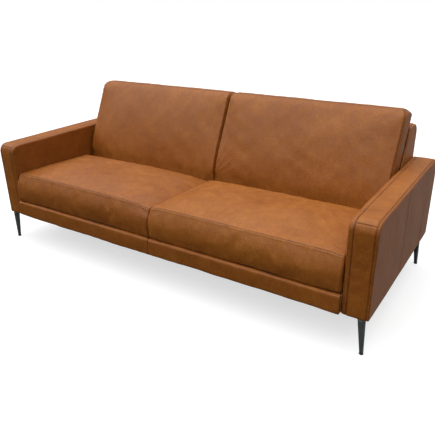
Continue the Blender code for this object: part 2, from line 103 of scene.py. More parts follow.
# Cushions
END_SEAM = 0.29  # share of an end's radius from its face to the seam
SEAT_CORNERS = (0.010, 0.016, 0.024, 0.008)  # front foot, rear foot, rear top, front top
BACK_CORNERS = (0.018, 0.018, 0.050, 0.034)
SEAT_FRONT_TOP = 0.440
SEAT_REAR_TOP = 0.424
SEAT_SETBACK = 0.030  # of the front seam behind the nose of the cushion
SEAT_CROWN = 0.030
BACK_LEAN = math.tan(math.radians(25.5))
SEAT_NOSE = 0.42  # share of the height at which the front bulges most
SEAT_UNDERCUT = 0.004
BACK_THICKNESS = 0.124  # of the block that the cushion is shaped from
BACK_DEPTH = 0.1376  # from the lining to the front, level
BACK_TOP_FALL = 0.016  # from the top's front to its rear
BACK_FOOT_FRONT = 0.0645  # y of the front behind the seat cushion
BACK_CROWN = 0.014
BACK_ENDS = (0.011, 0.017)  # radii of the edges beside the gap and beside the arm
BACK_TOP_CORNER = 0.036  # radius of the outer top corner as seen from the front
BACK_GAP_CORNER = 0.020
BACK_GAP = 0.004  # how far each cushion leans away from the other at the top
BACK_SEAM = 0.027  # from the front to the seam along the top
BACK_TUCK = 0.034  # how far the front draws in above the seat
BACK_FOLDS = {  # each (x, z, degrees, length, width, height)
    "right": (
        (0.012, 0.455, 58, 0.16, 0.007, 0.0022),
        (0.022, 0.450, 40, 0.19, 0.008, 0.0020),
        (0.014, 0.500, 68, 0.15, 0.006, 0.0018),
        (0.050, 0.440, 28, 0.15, 0.007, 0.0013),
        (1.000, 0.445, 135, 0.12, 0.008, 0.0010),
    ),
    "left": (
        (0.012, 0.450, 80, 0.14, 0.006, 0.0016),
        (0.020, 0.445, 50, 0.10, 0.007, 0.0010),
        (1.000, 0.445, 130, 0.14, 0.009, 0.0012),
    ),
}
SEAT_ENDS = (0.012, 0.014)
END_PUCKERS = 0.0011  # height of the small folds at the seams round the ends
LONG_PUCKERS = 0.0006  # and at the long seam
INFLATION = 4.0  # pressure of the cloth simulation
CUT_SLACK = 0.004  # how much larger than its outline the leather is cut
MOST_SCALE = 3.0  # of the simulated movement

# Legs
LEG_TOP_RADIUS = 0.017


# ---- numbers


def stops(low, high, step, fine=None, reach=0.018, near=None):
    """Places from low to high, about step apart, and about fine apart near some places or both ends."""
    dense = np.linspace(low, high, 4000)
    density = np.full(len(dense), 1 / step)
    for place in (near or (low, high)) if fine else ():
        density += (1 / fine - 1 / step) * np.exp(-(((dense - place) / reach) ** 2))
    total = np.concatenate([[0], np.cumsum((density[1:] + density[:-1]) / 2 * np.diff(dense))])
    count = max(2, round(total[-1]))
    return np.interp(np.linspace(0, total[-1], count + 1), total, dense)


def smooth_step(value, low, high):
    """0 below low, 1 above high, and smooth between them."""
    share = np.clip((value - low) / (high - low), 0, 1)
    return share * share * (3 - 2 * share)


def uneven(points, size, seed, waves=14):
    """A smooth field of about -1 to 1 over some points. The size of its bumps may differ by axis."""
    rng = np.random.default_rng(seed)
    field = np.zeros(len(points))
    for _ in range(waves):
        direction = rng.normal(size=3)
        direction /= np.linalg.norm(direction)
        turns = direction / (np.array(size) * rng.uniform(1.3, 2.8))
        field += np.sin(2 * math.pi * (points @ turns + rng.uniform()))
    return field * 1.3 / math.sqrt(waves)


def on_line(*columns):
    """Points for an uneven field that varies only with one or two numbers."""
    missing = [0 * columns[0]] * (3 - len(columns))
    return np.stack([*columns, *missing], -1)


def round_end(distance, radius):
    """How far an outline is drawn in, at a distance from a rounded end."""
    short = radius - np.clip(distance, 0, radius)
    return radius - np.sqrt(np.maximum(radius**2 - short**2, 0))


# ---- mesh


def skin(xs, ys, zs):
    """The points and quads of a block's surface, with cells between the given places along each axis."""
    shape = (len(xs), len(ys), len(zs))
    shell = np.zeros(shape, bool)
    shell[[0, -1]] = True
    shell[:, [0, -1]] = True
    shell[:, :, [0, -1]] = True
    number = np.full(shape, -1)
    number[shell] = np.arange(shell.sum())
    points = np.stack(np.meshgrid(xs, ys, zs, indexing="ij"), -1)[shell]
    quads = []
    for axis in range(3):
        layers = np.moveaxis(number, axis, 0)
        for layer in (layers[0], layers[-1]):
            corners = (layer[:-1, :-1], layer[1:, :-1], layer[1:, 1:], layer[:-1, 1:])
            quads.append(np.stack(corners, -1).reshape(-1, 4))
    return points, np.concatenate(quads)


def round_corners(points, low, high, radii):
    """Moves points of a rectangle in y and z so that its corners are round.
    The radii are those of the front foot, rear foot, rear top and front top."""
    y, z = points[:, 1].copy(), points[:, 2].copy()
    places = ((0, 0), (1, 0), (1, 1), (0, 1))
    for (far, top), radius in zip(places, radii):
        radius = np.maximum(radius, 1e-5)
        along, up = (-1, 1)[far], (-1, 1)[top]
        centre_y = (high[0] if far else low[0]) - along * radius
        centre_z = (high[1] if top else low[1]) - up * radius
        dy, dz = (y - centre_y) * along, (z - centre_z) * up
        inside = (dy > 0) & (dz > 0)
        shrink = np.where(inside, np.maximum(dy, dz) / np.maximum(np.hypot(dy, dz), 1e-9), 1)
        y = np.where(inside, centre_y + along * dy * shrink, y)
        z = np.where(inside, centre_z + up * dz * shrink, z)
    return np.stack([points[:, 0], y, z], -1)


def bolster(xs, ys, zs, end_rounds, radii, rear=1.0):
    """A block with rounded ends along x, whose outline in y and z has round corners.
    Rear is how much of the ends' rounding there is on the rear side.
    Returns its points, its quads and how deep each point lies inside an end's outline."""
    points, quads = skin(xs, ys, zs)
    x, y, z = points.T
    draw = np.maximum(round_end(x - xs[0], end_rounds[0]), round_end(xs[-1] - x, end_rounds[1]))
    low, high = (ys[0] + draw, zs[0] + draw), (ys[-1] - rear * draw, zs[-1] - draw)
    depth = np.minimum.reduce([y - ys[0], ys[-1] - y, z - zs[0], zs[-1] - z])
    y = low[0] + (y - ys[0]) * (high[0] - low[0]) / (ys[-1] - ys[0])
    z = low[1] + (z - zs[0]) * (high[1] - low[1]) / (zs[-1] - zs[0])
    moved = round_corners(np.stack([x, y, z], -1), low, high, [r - draw for r in radii])
    return moved, quads, depth


def in_scene(name, data):
    """A new object in the scene for a mesh, a camera or a lamp."""
    obj = bpy.data.objects.new(name, data)
    bpy.context.scene.collection.objects.link(obj)
    return obj


def new_object(name, points, faces):
    mesh = bpy.data.meshes.new(name)
    mesh.from_pydata(points.tolist(), [], faces)
    return in_scene(name, mesh)


def new_solid(name, points, faces, bevel=0.0):
    """A mesh object with its faces turned outwards, its edges bevelled if asked, and shaded smooth."""
    obj = new_object(name, points, faces)
    shape = bmesh.new()
    shape.from_mesh(obj.data)
    bmesh.ops.recalc_face_normals(shape, faces=shape.faces)
    if bevel:
        bmesh.ops.bevel(shape, geom=shape.edges, offset=bevel, segments=2, profile=0.5, affect="EDGES")
    shape.to_mesh(obj.data)
    shape.free()
    obj.data.shade_smooth()
    return obj


def positions(mesh, kind="co"):
    """The place of each point of the mesh."""
    flat = np.empty(len(mesh.vertices) * 3, np.float32)
    mesh.vertices.foreach_get(kind, flat)
    return flat.reshape(-1, 3).astype(float)


def normals(mesh):
    """The outward direction at each point of the mesh."""
    return positions(mesh, "normal")


def unit(rows):
    """The directions of some vectors."""
    return rows / np.maximum(np.linalg.norm(rows, axis=1), 1e-9)[:, None]


def move_to(mesh, points):
    """Puts the mesh's points somewhere else."""
    mesh.vertices.foreach_set("co", points.astype(np.float32).ravel())
    mesh.update()


def set_values(mesh, name, values):
    """Stores one number for each point of the mesh."""
    layer = mesh.attributes.get(name) or mesh.attributes.new(name, "FLOAT", "POINT")
    layer.data.foreach_set("value", np.asarray(values, np.float32))


def get_values(mesh, name):
    """The numbers stored for the points of the mesh."""
    values = np.empty(len(mesh.vertices), np.float32)
    mesh.attributes[name].data.foreach_get("value", values)
    return values.astype(float)


def subdivide(obj):
    """Applies one level of subdivision."""
    step = obj.modifiers.new("smooth", "SUBSURF")
    step.levels = step.render_levels = 1
    graph = bpy.context.evaluated_depsgraph_get()
    made = bpy.data.meshes.new_from_object(obj.evaluated_get(graph))
    obj.modifiers.clear()
    obj.data = made
    made.shade_smooth()


def inflate(obj, held, pressure, slack, frames=20):
    """How far each point moves when the cover is blown up by cloth simulation, with some points held.
    Slack is how much larger than its outline the leather is cut."""
    group = obj.vertex_groups.new(name="held")
    for index in np.nonzero(held > 0)[0]:
        group.add([int(index)], float(held[index]), "REPLACE")
    step = obj.modifiers.new("cloth", "CLOTH")
    cloth = step.settings
    cloth.quality = 6
    cloth.mass = 0.4
    cloth.tension_stiffness = cloth.compression_stiffness = 30
    cloth.shear_stiffness = 12
    cloth.bending_stiffness = 2.5
    cloth.air_damping = 3
    cloth.vertex_group_mass = "held"
    cloth.shrink_min = -slack
    cloth.use_pressure = True
    cloth.uniform_pressure_force = pressure
    cloth.effector_weights.gravity = 0
    step.collision_settings.use_collision = False
    step.point_cache.frame_start = 1
    step.point_cache.frame_end = frames
    scene = bpy.context.scene
    for number in range(1, frames + 1):
        scene.frame_set(number)
    made = obj.evaluated_get(bpy.context.evaluated_depsgraph_get()).to_mesh()
    moved = positions(made) - positions(obj.data)
    obj.modifiers.clear()
    obj.vertex_groups.clear()
    scene.frame_set(1)
    return moved


def seam_relief(distance, depth):
    """Height of leather at a distance from a seam: a narrow groove with a low puff beside it."""
    groove = -depth * np.exp(-((distance / SEAM_WIDTH) ** 2))
    return groove + SEAM_PUFF * np.exp(-(((distance - 4 * SEAM_WIDTH) / (3 * SEAM_WIDTH)) ** 2))


def dress(obj, body, stands_for, finish):
    """Makes an object a piece of the sofa: its body, the CAD nodes it stands for and material."""
    obj.data.materials.clear()
    obj.data.materials.append(finish)
    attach(obj, body)
    if stands_for:
        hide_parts(*stands_for)
    return obj


def leather_piece(name, points, quads, seam, sign, body, stands_for, tone, waves=0.0005, seed=0):
    """A leather piece: the shape, mirrored for the left side, with seam grooves and slight unevenness."""
    points = points * np.array([sign, 1, 1])
    obj = new_solid(name, points, quads.tolist())
    lift = seam_relief(seam, FINE_SEAM_DEPTH)
    away = smooth_step(seam, 0, 0.03)
    lift += waves * away * uneven(points, (0.10, 0.10, 0.10), seed)
    lift += 0.35 * waves * away * uneven(points, (0.035, 0.035, 0.035), seed + 1)
    move_to(obj.data, points + normals(obj.data) * lift[:, None])
    # Painted shade in the seam grooves: this mask darkens the leather along each seam, weaker here than on
    # the cushions.
    set_values(obj.data, "seam", 0.7 * np.exp(-((seam / SEAM_WIDTH) ** 2)))
    set_values(obj.data, "tone", np.full(len(points), tone))
    return dress(obj, body, stands_for, LEATHER)


def stitches(name, line, up, body):
    """Stitches laid end to end along a line of points on leather whose outward directions are given."""
    steps = np.linalg.norm(np.diff(line, axis=0), axis=1)
    run = np.concatenate([[0], np.cumsum(steps)])
    places = np.arange(STITCH_PITCH / 2, run[-1], STITCH_PITCH)

    def at(values, where):
        return np.stack([np.interp(where, run, values[:, k]) for k in range(3)], -1)

    middle = at(line, places)
    along = unit(at(line, places + STITCH_LENGTH / 2) - at(line, places - STITCH_LENGTH / 2))
    out = at(up, places)
    out = unit(out - (out * along).sum(1)[:, None] * along)
    side = np.cross(along, out)
    rings = [(-0.5, 0.25, -0.6), (-0.36, 0.85, 0.0), (0.0, 1.0, 0.25), (0.36, 0.85, 0.0), (0.5, 0.25, -0.6)]
    turns = np.linspace(0, 2 * math.pi, 6, endpoint=False)
    rows = []
    for share, thick, height in rings:
        for turn in turns:
            offset = thick * (math.cos(turn) * side + math.sin(turn) * out) + height * out
            rows.append(middle + share * STITCH_LENGTH * along + STITCH_RADIUS * offset)
    points = np.stack(rows, 1).reshape(-1, 3)
    faces = [(6 * r + i, 6 * r + (i + 1) % 6, 6 * r + 6 + (i + 1) % 6, 6 * r + 6 + i)
             for r in range(4) for i in range(6)]
    caps = [tuple(range(5, -1, -1)), tuple(range(24, 30))]
    faces = [tuple(30 * k + i for i in face) for k in range(len(places)) for face in faces + caps]
    obj = new_object(name, points, faces)
    obj.data.shade_smooth()
    return dress(obj, body, (), THREAD)


# ---- materials


def colour(text):
    """A colour written as in #9b6237, as linear numbers."""
    shares = [int(text[i : i + 2], 16) / 255 for i in (1, 3, 5)]
    return (*[s / 12.92 if s <= 0.04045 else ((s + 0.055) / 1.055) ** 2.4 for s in shares], 1.0)


class Nodes:
    """Short calls for building the nodes of a material, or of the world."""

    def __init__(self, name, owners=bpy.data.materials, shader="Principled BSDF", place="Object"):
        self.owner = owners.new(name)
        self.owner.use_nodes = True
        self.tree = self.owner.node_tree
        self.shader = self.tree.nodes[shader]
        self.place = self.add("ShaderNodeTexCoord").outputs[place]

    def put(self, socket, value):
        """Links an output to a socket, or gives the socket a number, a vector or a colour."""
        if isinstance(value, bpy.types.NodeSocket):
            self.tree.links.new(value, socket)
        else:
            socket.default_value = colour(value) if isinstance(value, str) else value

    def add(self, kind, sockets=None, **settings):
        node = self.tree.nodes.new(kind)
        for key, value in settings.items():
            setattr(node, key, value)
        for socket, value in (sockets or {}).items():
            self.put(node.inputs[socket], value)
        return node

    def noise(self, scale, detail=4.0, roughness=0.55, distortion=0.0, stretch=None):
        place = self.place
        if stretch:
            place = self.add("ShaderNodeMapping", {"Vector": place, "Scale": stretch}).outputs["Vector"]
        values = {"Vector": place, "Scale": scale, "Detail": detail, "Roughness": roughness,
                  "Distortion": distortion}
        return self.add("ShaderNodeTexNoise", values).outputs["Fac"]

    def cells(self, scale, feature="F1", smooth=None):
        values = {"Vector": self.place, "Scale": scale}
        if smooth is not None:
            values["Smoothness"] = smooth
        return self.add("ShaderNodeTexVoronoi", values, feature=feature).outputs["Distance"]

    def waves(self, scale, axis):
        values = {"Vector": self.place, "Scale": scale}
        return self.add("ShaderNodeTexWave", values, wave_type="BANDS", bands_direction=axis).outputs["Fac"]

    def stored(self, name):
        return self.add("ShaderNodeAttribute", attribute_name=name).outputs["Fac"]

    def maths(self, operation, first, second):
        return self.add("ShaderNodeMath", {0: first, 1: second}, operation=operation).outputs[0]

    def span(self, value, low, high, start=0.0, end=1.0):
        values = {"Value": value, "From Min": start, "From Max": end, "To Min": low, "To Max": high}
        return self.add("ShaderNodeMapRange", values).outputs["Result"]

    def ramp(self, value, stops_of_colour):
        node = self.add("ShaderNodeValToRGB", {"Fac": value})
        elements = node.color_ramp.elements
        while len(elements) < len(stops_of_colour):
            elements.new(0.5)
        for element, (place, text) in zip(elements, stops_of_colour):
            element.position = place
            element.color = colour(text)
        return node.outputs["Color"]

    def mix(self, share, first, second):
        values = {"Factor": share, 6: first, 7: second}
        return self.add("ShaderNodeMix", values, data_type="RGBA").outputs[2]

    def bump(self, height, distance, strength=1.0, over=None):
        values = {"Height": height, "Distance": distance, "Strength": strength}
        if over is not None:
            values["Normal"] = over
        return self.add("ShaderNodeBump", values).outputs["Normal"]

    def finish(self, base, roughness, normal=None, **constants):
        values = {"Base Color": base, "Roughness": roughness, "Normal": normal}
        values.update({key.replace("_", " "): value for key, value in constants.items()})
        for socket, value in values.items():
            if value is not None:
                self.put(self.shader.inputs[socket], value)
        return self.owner


def make_leather():
    """Tan semi-aniline leather: cloudy dye, pebbled grain, and painted shade that darkens the seam grooves.
    """
    n = Nodes("tan_leather")
    clouds = n.noise(5.5, 5, 0.6, 0.3)
    blotches = n.noise(24, 6, 0.62, 0.4)
    flecks = n.noise(150, 4, 0.6)
    tone = n.maths("ADD", n.maths("MULTIPLY", clouds, 0.24), n.maths("MULTIPLY", blotches, 0.30))
    tone = n.maths("ADD", tone, n.maths("MULTIPLY", flecks, 0.46))
    tone = n.maths("ADD", tone, n.maths("MULTIPLY", n.stored("tone"), 0.08))
    base = n.ramp(tone, ((0.34, "#7b4412"), (0.46, "#8f5017"), (0.55, "#9b5b1c"), (0.68, "#b16e29")))
    pores = n.cells(620, "SMOOTH_F1", 0.6)
    base = n.mix(n.span(pores, 0.0, 0.12, 0.1, 0.7), base, "#56300f")
    # Painted shade: the leather is mixed towards a near-black brown in the seam grooves, where shade falls.
    base = n.mix(n.maths("MULTIPLY", n.stored("seam"), 0.55), base, "#2c1506")
    rough = n.span(n.maths("ADD", blotches, n.maths("MULTIPLY", flecks, 0.5)), 0.42, 0.62, 0.45, 1.05)
    grain = n.bump(pores, 0.00035, 0.55)
    creases = n.bump(n.noise(90, 5, 0.65, 0.8), 0.0011, 0.45, grain)
    return n.finish(base, rough, creases, Specular_IOR_Level=0.36)


def make_thread():
    n = Nodes("stitching_thread")
    twist = n.noise(900, 2)
    base = n.ramp(twist, ((0.35, "#4a2610"), (0.65, "#6f3f1c")))
    return n.finish(base, 0.6, n.bump(twist, 0.0002))


def make_steel():
    """Dark grey painted steel with a satin surface."""
    n = Nodes("grey_leg_steel")
    speckle = n.noise(500, 3)
    scuffs = n.noise(30, 6, 0.7)
    base = n.ramp(scuffs, ((0.35, "#59605f"), (0.65, "#6d7472")))
    rough = n.span(speckle, 0.34, 0.50, 0.3, 0.7)
    return n.finish(base, rough, n.bump(speckle, 0.00008, 0.5), Metallic=0.35)


def make_spring_steel():
    n = Nodes("bare_spring_steel")
    film = n.noise(60, 5)
    base = n.ramp(film, ((0.35, "#8c8a86"), (0.7, "#b9b6b0")))
    return n.finish(base, n.span(film, 0.25, 0.45), n.bump(n.noise(700, 2), 0.00005), Metallic=1.0)


def make_timber():
    n = Nodes("frame_timber")
    figure = n.noise(22, 5, 0.6, 1.2, (0.12, 1.0, 1.0))
    pores = n.noise(500, 3, 0.6, 0.0, (0.06, 1.0, 1.0))
    base = n.ramp(figure, ((0.35, "#a37a4a"), (0.5, "#bd9660"), (0.65, "#cdab78")))
    base = n.mix(n.span(pores, 0.0, 0.35, 0.45, 0.7), base, "#7a5630")
    return n.finish(base, n.span(figure, 0.6, 0.75), n.bump(pores, 0.0003, 0.5))


def make_weave(name, dark, light, threads, bump):
    """A plain woven cloth."""
    n = Nodes(name)
    across = n.waves(threads, "X")
    along = n.maths("MAXIMUM", n.waves(threads, "Y"), n.waves(threads, "Z"))
    weave = n.maths("MULTIPLY", across, along)
    fuzz = n.noise(240, 4)
    base = n.ramp(n.maths("ADD", n.maths("MULTIPLY", weave, 0.5), n.maths("MULTIPLY", fuzz, 0.6)),
                  ((0.25, dark), (0.75, light)))
    return n.finish(base, 0.9, n.bump(weave, bump, 0.6), Sheen_Weight=0.25)


def make_foam():
    n = Nodes("cushion_foam")
    cells = n.cells(420)
    base = n.mix(n.span(cells, 0.0, 0.5), "#e2d5a4", "#b9a871")
    return n.finish(base, 0.95, n.bump(cells, 0.0006, 0.7))


def make_nylon():
    n = Nodes("black_nylon")
    grain = n.noise(600, 3)
    base = n.ramp(grain, ((0.3, "#17181a"), (0.7, "#232529")))
    return n.finish(base, n.span(grain, 0.4, 0.55), n.bump(grain, 0.00008, 0.6))


def make_floor_finish():
    n = Nodes("pale_floor")
    mottle = n.noise(0.8, 4)
    base = n.ramp(mottle, ((0.3, "#aeaeae"), (0.7, "#b4b4b4")))
    return n.finish(base, 0.9, Emission_Color="#ffffff", Emission_Strength=0.62)


LEATHER = make_leather()
THREAD = make_thread()
STEEL = make_steel()
SPRING_STEEL = make_spring_steel()
TIMBER = make_timber()
LINING = make_weave("black_lining_cloth", "#141312", "#3a3735", 260, 0.0003)
WEBBING = make_weave("elastic_webbing", "#2b2724", "#6b625a", 180, 0.0006)
ZIP_CLOTH = make_weave("zip_tape", "#1c0f08", "#4a2b18", 300, 0.0003)
FOAM = make_foam()
NYLON = make_nylon()

CAD_FINISHES = (  # by words in a node's name, and leather for the rest
    (("rail", "post", "arm_frame"), TIMBER),
    (("springs",), SPRING_STEEL),
    (("plate", "leg"), STEEL),
    (("glide",), NYLON),
    (("webbing",), WEBBING),
    (("zip",), ZIP_CLOTH),
    (("core",), FOAM),
    (("deck", "dust", "lining"), LINING),
)


def finish_cad_nodes():
    """Gives every CAD node that stays in view its material."""
    for name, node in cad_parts.items():
        fitting = [made for words, made in CAD_FINISHES if any(word in name for word in words)]
        finish = fitting[0] if fitting else LEATHER
        if not node.data.materials:
            node.data.materials.append(None)
        for entry in node.material_slots:
            entry.link = "OBJECT"
            entry.material = finish


# ---- arms

ARM_LOW, ARM_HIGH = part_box("arm_inner_cover_right")
OUTER_LOW, OUTER_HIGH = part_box("arm_outer_cover_right")
ARM_FRONT, ARM_REAR = ARM_LOW.y, ARM_HIGH.y
ARM_FOOT, ARM_TOP = ARM_LOW.z, ARM_HIGH.z
BAND_LOW_X, BAND_HIGH_X = ARM_HIGH.x, OUTER_LOW.x


def arm_side(kind, side, sign, face_x, seam_x, face_round, seams_y, tone, seed):
    """A side cover of an arm, from the seam beside the band to its face."""
    low_x, high_x = sorted((face_x, seam_x))
    thick = high_x - low_x
    xs = stops(low_x, high_x, 0.004, 0.0011, 0.005)
    edges_y = (ARM_FRONT, ARM_REAR, *seams_y)
    ys = stops(ARM_FRONT, ARM_REAR, 0.011, 0.0022, 0.012, edges_y)
    zs = stops(ARM_FOOT, ARM_TOP, 0.011, 0.0026, 0.012)
    rounds = (face_round, 0) if face_x < seam_x else (0, face_round)
    radii = (ARM_FOOT_ROUND, ARM_FOOT_ROUND, ARM_CORNER, ARM_CORNER)
    points, quads, depth = bolster(xs, ys, zs, rounds, radii)
    out = math.copysign(1, face_x - seam_x)
    on_face = 1 - smooth_step(np.abs(points[:, 0] - face_x), 0, thick * 0.5)
    span_y = (points[:, 1] - ARM_FRONT) / (ARM_REAR - ARM_FRONT) * 2 - 1
    span_z = (points[:, 2] - ARM_FOOT) / (ARM_TOP - ARM_FOOT) * 2 - 1
    puff = SIDE_PUFF * (1 - np.abs(span_y) ** 6) * (1 - np.abs(span_z) ** 4)
    points[:, 0] += out * on_face * puff
    foot = np.exp(-((points[:, 2] - ARM_FOOT) / 0.05) ** 2)
    points[:, 2] += foot * 0.0016 * uneven(points * [0, 1, 0], (1, 0.10, 1), seed + 5)
    seam = np.abs(points[:, 0] - seam_x)
    seam = np.where(depth > 1e-6, np.maximum(seam, 0.03), seam)
    for place in seams_y:
        across = np.abs(points[:, 1] - place)
        seam = np.where(on_face > 0.2, np.minimum(seam, across), seam)
    node = f"arm_{kind}_cover_{side}"
    leather_piece(f"arm_{kind}_side_{side}", points, quads, seam, sign, "frame", (node,), tone,
                  waves=0.0009, seed=seed)


def bent_line(s, front, top, rise, first, run, second):
    """Places along a line that rises, bends back with one radius, runs level and bends down with another.
    Returns the bend's centre, the outward direction in y and z, and the radius."""
    arcs = (math.pi / 2 * first, math.pi / 2 * second)
    back = np.clip((s - rise) / arcs[0], 0, 1) * math.pi / 2
    down = np.clip((s - rise - arcs[0] - run) / arcs[1], 0, 1) * math.pi / 2
    angle = math.pi - back - down
    radius = np.where(down > 0, second, first)
    y = front + first + np.clip(s - rise - arcs[0], 0, run)
    up = np.clip(s - rise, None, 0) - np.clip(s - rise - arcs[0] - run - arcs[1], 0, None)
    centre = np.stack([y, top - radius + up], -1)
    return centre, np.stack([np.cos(angle), np.sin(angle)], -1), radius


def arm_path(s):
    """Points and outward directions, in y and z, along the arm's outline from its front foot over the top."""
    centre, normal, radius = bent_line(s, ARM_FRONT, ARM_TOP, ARM_TOP - ARM_FOOT - ARM_CORNER, ARM_CORNER,
                                       ARM_REAR - ARM_FRONT - 2 * ARM_CORNER, ARM_CORNER)
    return centre + normal * radius[:, None], normal


ARM_PATH_LENGTH = 2 * (ARM_TOP - ARM_FOOT - ARM_CORNER) + math.pi * ARM_CORNER + (
    ARM_REAR - ARM_FRONT - 2 * ARM_CORNER)


def arm_band(kind, side, sign, s0, s1, tone, seed):
    """A padded strip of an arm between its two side covers, along a stretch of its outline."""
    x0, x1 = BAND_LOW_X, BAND_HIGH_X
    xs = stops(x0, x1, 0.009, 0.0012, 0.006)
    ss = stops(s0, s1, 0.008, 0.0014, 0.008)
    ws = np.linspace(0, 1, 5)
    points, quads = skin(xs, ss, ws)
    x, s, w = points.T
    place, normal = arm_path(s)
    across = (x - x0) / (x1 - x0) * 2 - 1
    crown = BAND_CROWN * (1 - across**2)
    ends = [distance for distance, at in ((s - s0, s0), (s1 - s, s1)) if 0.01 < at < ARM_PATH_LENGTH - 0.01]
    seam = np.minimum.reduce([x - x0, x1 - x, *ends])
    foot = np.minimum(s, ARM_PATH_LENGTH - s)
    wrinkles = 0.0005 * uneven(on_line(x, s), (0.30, 0.028, 1), seed + 3)
    outer = crown - round_end(foot, ARM_FOOT_ROUND) + wrinkles * smooth_step(seam, 0, 0.02)
    lift = -ARM_PAD + w * (ARM_PAD + outer)
    points = np.stack([x, *(place + normal * lift[:, None]).T], -1)
    seam = seam + (1 - w) * 0.02
    node = f"arm_{kind}_pad_{side}"
    leather_piece(f"arm_{kind}_band_{side}", points, quads, seam, sign, "frame", (node,), tone,
                  waves=0.0006, seed=seed)


def arm_stitches(side, sign, cross, rear_cross):
    """A row of stitches on each side of the arm's two long seams and its two cross seams."""
    s = np.linspace(0.012, ARM_PATH_LENGTH - 0.012, 900)
    place, normal = arm_path(s)
    count = 0
    for seam_x in (ARM_HIGH.x, OUTER_LOW.x):
        for beside in (-STITCH_ROW, STITCH_ROW):
            x = np.full(len(s), sign * (seam_x + beside))
            line = np.stack([x, *(place + 0.0005 * normal).T], -1)
            up = np.stack([0 * x, *normal.T], -1)
            count += 1
            stitches(f"arm_stitches_{count}_{side}", line, up, "frame")
    for seam_s in (cross, rear_cross):
        for beside in (-STITCH_ROW, STITCH_ROW):
            place, normal = arm_path(np.full(40, seam_s + beside))
            x = sign * np.linspace(BAND_LOW_X + 0.006, BAND_HIGH_X - 0.006, 40)
            crown = BAND_CROWN * (1 - np.linspace(-1, 1, 40) ** 2)
            line = np.stack([x, *(place + (0.0004 + crown[:, None]) * normal).T], -1)
            count += 1
            stitches(f"arm_stitches_{count}_{side}", line, np.stack([0 * x, *normal.T], -1), "frame")


def make_arms():
    cross = ARM_TOP - ARM_FOOT - ARM_CORNER + ARM_CORNER * ARM_CROSS_SEAM
    rear_cross = ARM_PATH_LENGTH - cross
    for side, sign in SIDES:
        seed = 100 if sign > 0 else 200
        arm_side("inner", side, sign, ARM_LOW.x, ARM_HIGH.x, ARM_INNER_ROUND, (), -0.3, seed)
        arm_side("outer", side, sign, OUTER_HIGH.x, OUTER_LOW.x, ARM_OUTER_ROUND, OUTER_SEAMS_Y, -0.5,
                 seed + 10)
        arm_band("front", side, sign, 0, cross, 0.1, seed + 20)
        arm_band("top", side, sign, cross, rear_cross, 0.2, seed + 30)
        arm_band("rear", side, sign, rear_cross, ARM_PATH_LENGTH, -0.1, seed + 40)
        arm_stitches(side, sign, cross, rear_cross)


# ---- base and back frame


def make_aprons():
    """The padded strips below the seat cushions."""
    low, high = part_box("apron_right")
    xs = stops(low.x, high.x, 0.010, 0.0016, 0.008)
    ys = stops(low.y, high.y, 0.0045)
    zs = stops(low.z, high.z, 0.0075, 0.003, 0.01)
    points, quads, depth = bolster(xs, ys, zs, (0.006, 0.003), (0.009, 0.002, 0.002, 0.010))
    front = smooth_step(high.y - points[:, 1], 0.006, high.y - low.y)
    span_z = (points[:, 2] - low.z) / (high.z - low.z) * 2 - 1
    points[:, 1] -= front * 0.0022 * (1 - span_z**4)
    near_middle = np.exp(-((points[:, 0] - low.x - 0.03) / 0.03) ** 2)
    points[:, 1] -= front * 0.0012 * near_middle
    seam = np.maximum(points[:, 0] - low.x, depth + 0.002)
    for side, sign in SIDES:
        seed = 310 if sign > 0 else 320
        foot = np.exp(-((points[:, 2] - low.z) / 0.02) ** 2)
        made = points.copy()
        made[:, 2] += foot * 0.0008 * uneven(points * [1, 0, 0], (0.16, 1, 1), seed + 2)
        leather_piece(f"front_apron_{side}", made, quads, seam, sign, "frame", (f"apron_{side}",), -0.2,
                      waves=0.0008, seed=seed)


def lining_y(z):
    """y of the front of the back lining at a height."""
    low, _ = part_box("back_lining")
    return low.y + (z - low.z) * BACK_LEAN


